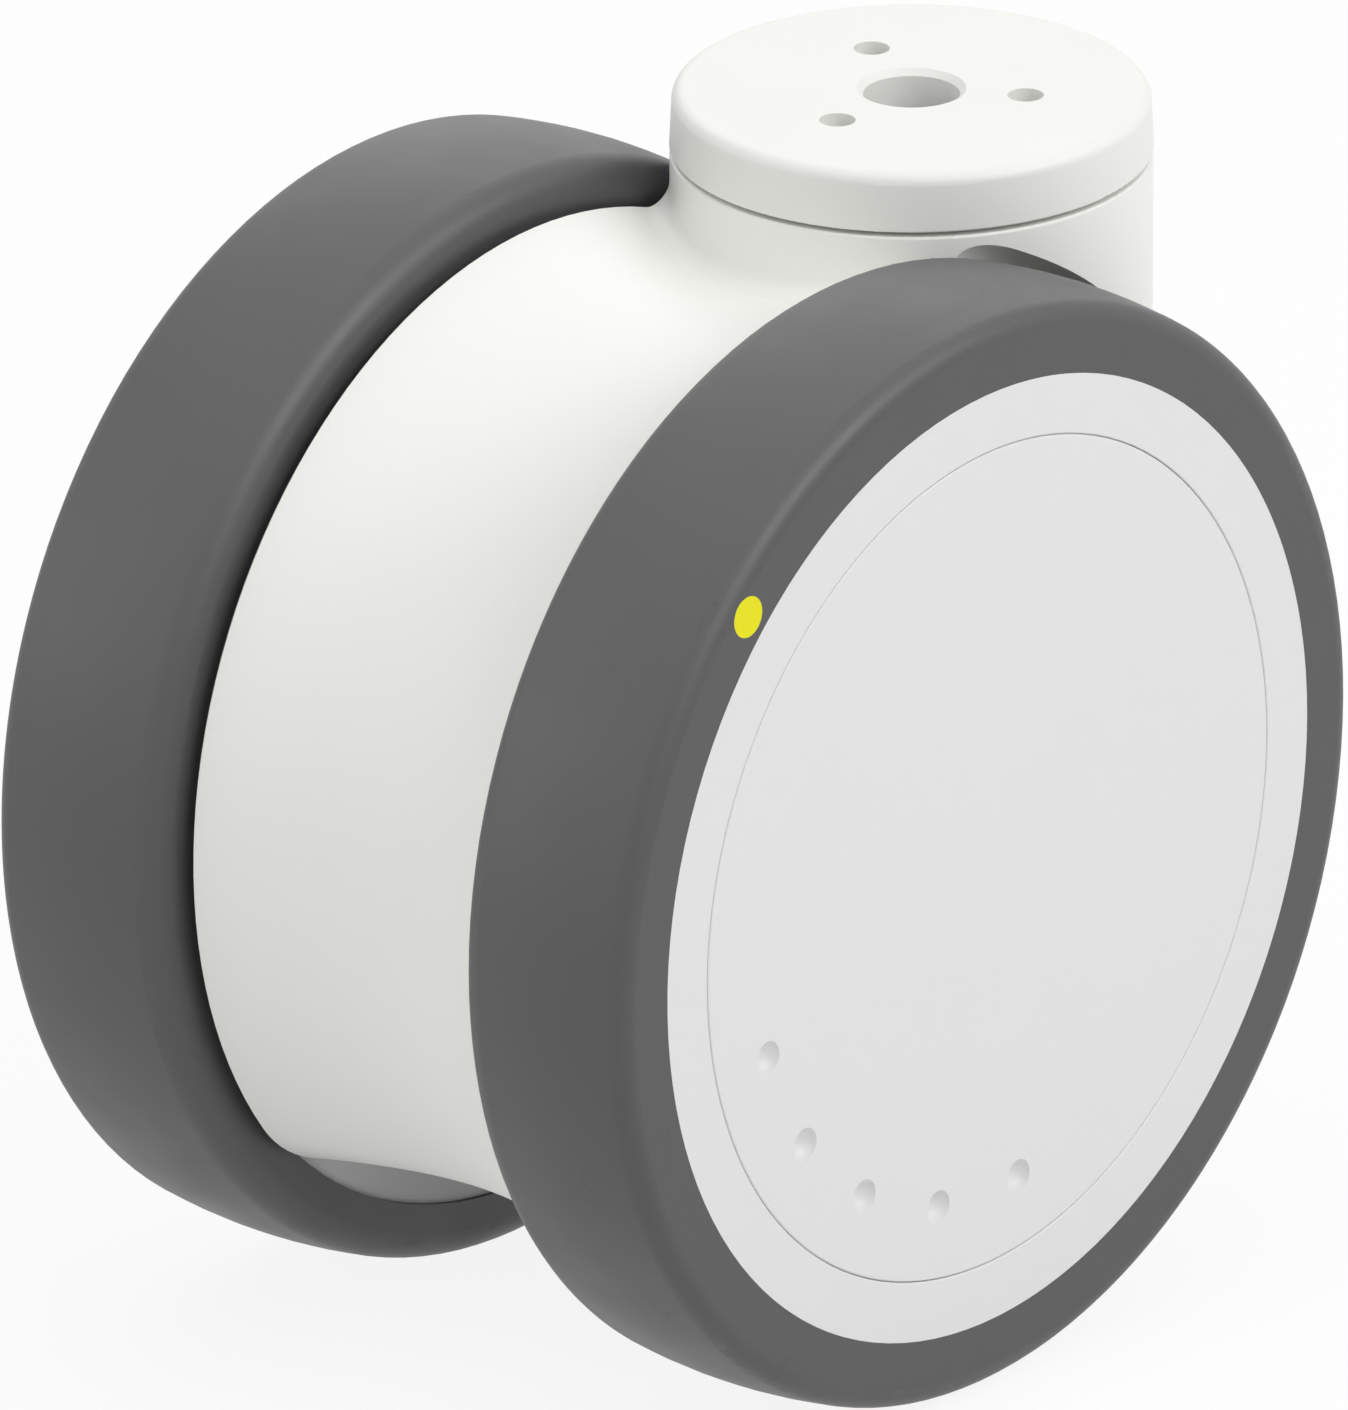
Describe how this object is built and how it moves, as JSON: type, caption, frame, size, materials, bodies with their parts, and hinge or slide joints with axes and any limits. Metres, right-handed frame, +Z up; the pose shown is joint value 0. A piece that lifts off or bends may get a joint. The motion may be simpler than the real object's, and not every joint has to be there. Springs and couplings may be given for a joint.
{
  "type": "twin wheel caster",
  "caption": "Swivel caster with two plain-faced wheels beside a waisted moulded housing, a round head with a central bolt hole and pin holes, and closed hub caps.",
  "frame": {"origin": "centre of the mounting face on the swivel axis", "axes": "+Z up, out of the mounting face along the swivel axis; the axle lies along Y, and the wheels trail towards -X"},
  "size_m": [0.1297, 0.0894, 0.1296],
  "materials": {
    "head_white": "white moulded polyamide, fine grain",
    "housing_white": "white moulded polyamide, fine grain",
    "wheel_white": "white moulded polypropylene, satin",
    "cap_white": "white moulded polypropylene, satin",
    "tread_grey": "dark grey elastic tread, matt",
    "mark_yellow": "yellow inlaid mark",
    "zinc_steel": "turned steel, zinc plated",
    "bearing_steel": "ground bearing steel with closed-in seals",
    "spring_steel": "oiled spring steel",
    "seal_black": "black rubber lip seal"
  },
  "bodies": {
    "head": {"mounting_flange": "head_white", "swivel_spindle": "zinc_steel", "upper_swivel_inner_ring": "bearing_steel", "lower_swivel_inner_ring": "bearing_steel", "swivel_inner_spacer": "zinc_steel", "spindle_washer": "zinc_steel", "spindle_circlip": "spring_steel"},
    "housing": {"housing": "housing_white", "swivel_dust_seal": "seal_black", "upper_swivel_outer_ring": "bearing_steel", "lower_swivel_outer_ring": "bearing_steel", "swivel_outer_spacer": "zinc_steel", "axle": "zinc_steel", "axle_lock_pin": "spring_steel", "axle_circlips": "spring_steel", "front_inboard_inner_ring": "bearing_steel", "front_outboard_inner_ring": "bearing_steel", "front_bearing_sleeve": "zinc_steel", "front_axle_spacer": "zinc_steel", "rear_inboard_inner_ring": "bearing_steel", "rear_outboard_inner_ring": "bearing_steel", "rear_bearing_sleeve": "zinc_steel", "rear_axle_spacer": "zinc_steel"},
    "front_wheel": {"front_tread": "tread_grey", "front_wheel_body": "wheel_white", "front_hub_cap": "cap_white", "front_inboard_outer_ring": "bearing_steel", "front_outboard_outer_ring": "bearing_steel", "front_tread_mark": "mark_yellow"},
    "rear_wheel": {"rear_tread": "tread_grey", "rear_wheel_body": "wheel_white", "rear_hub_cap": "cap_white", "rear_inboard_outer_ring": "bearing_steel", "rear_outboard_outer_ring": "bearing_steel"}
  },
  "joints": [
    {"name": "swivel", "type": "hinge", "parent": "head", "child": "housing", "pos_m": [0, 0, 0], "axis": [0, 0, 1], "continuous": true},
    {"name": "front_wheel_spin", "type": "hinge", "parent": "housing", "child": "front_wheel", "pos_m": [-0.0403, 0, -0.0667], "axis": [0, 1, 0], "continuous": true},
    {"name": "rear_wheel_spin", "type": "hinge", "parent": "housing", "child": "rear_wheel", "pos_m": [-0.0403, 0, -0.0667], "axis": [0, 1, 0], "continuous": true}
  ]
}
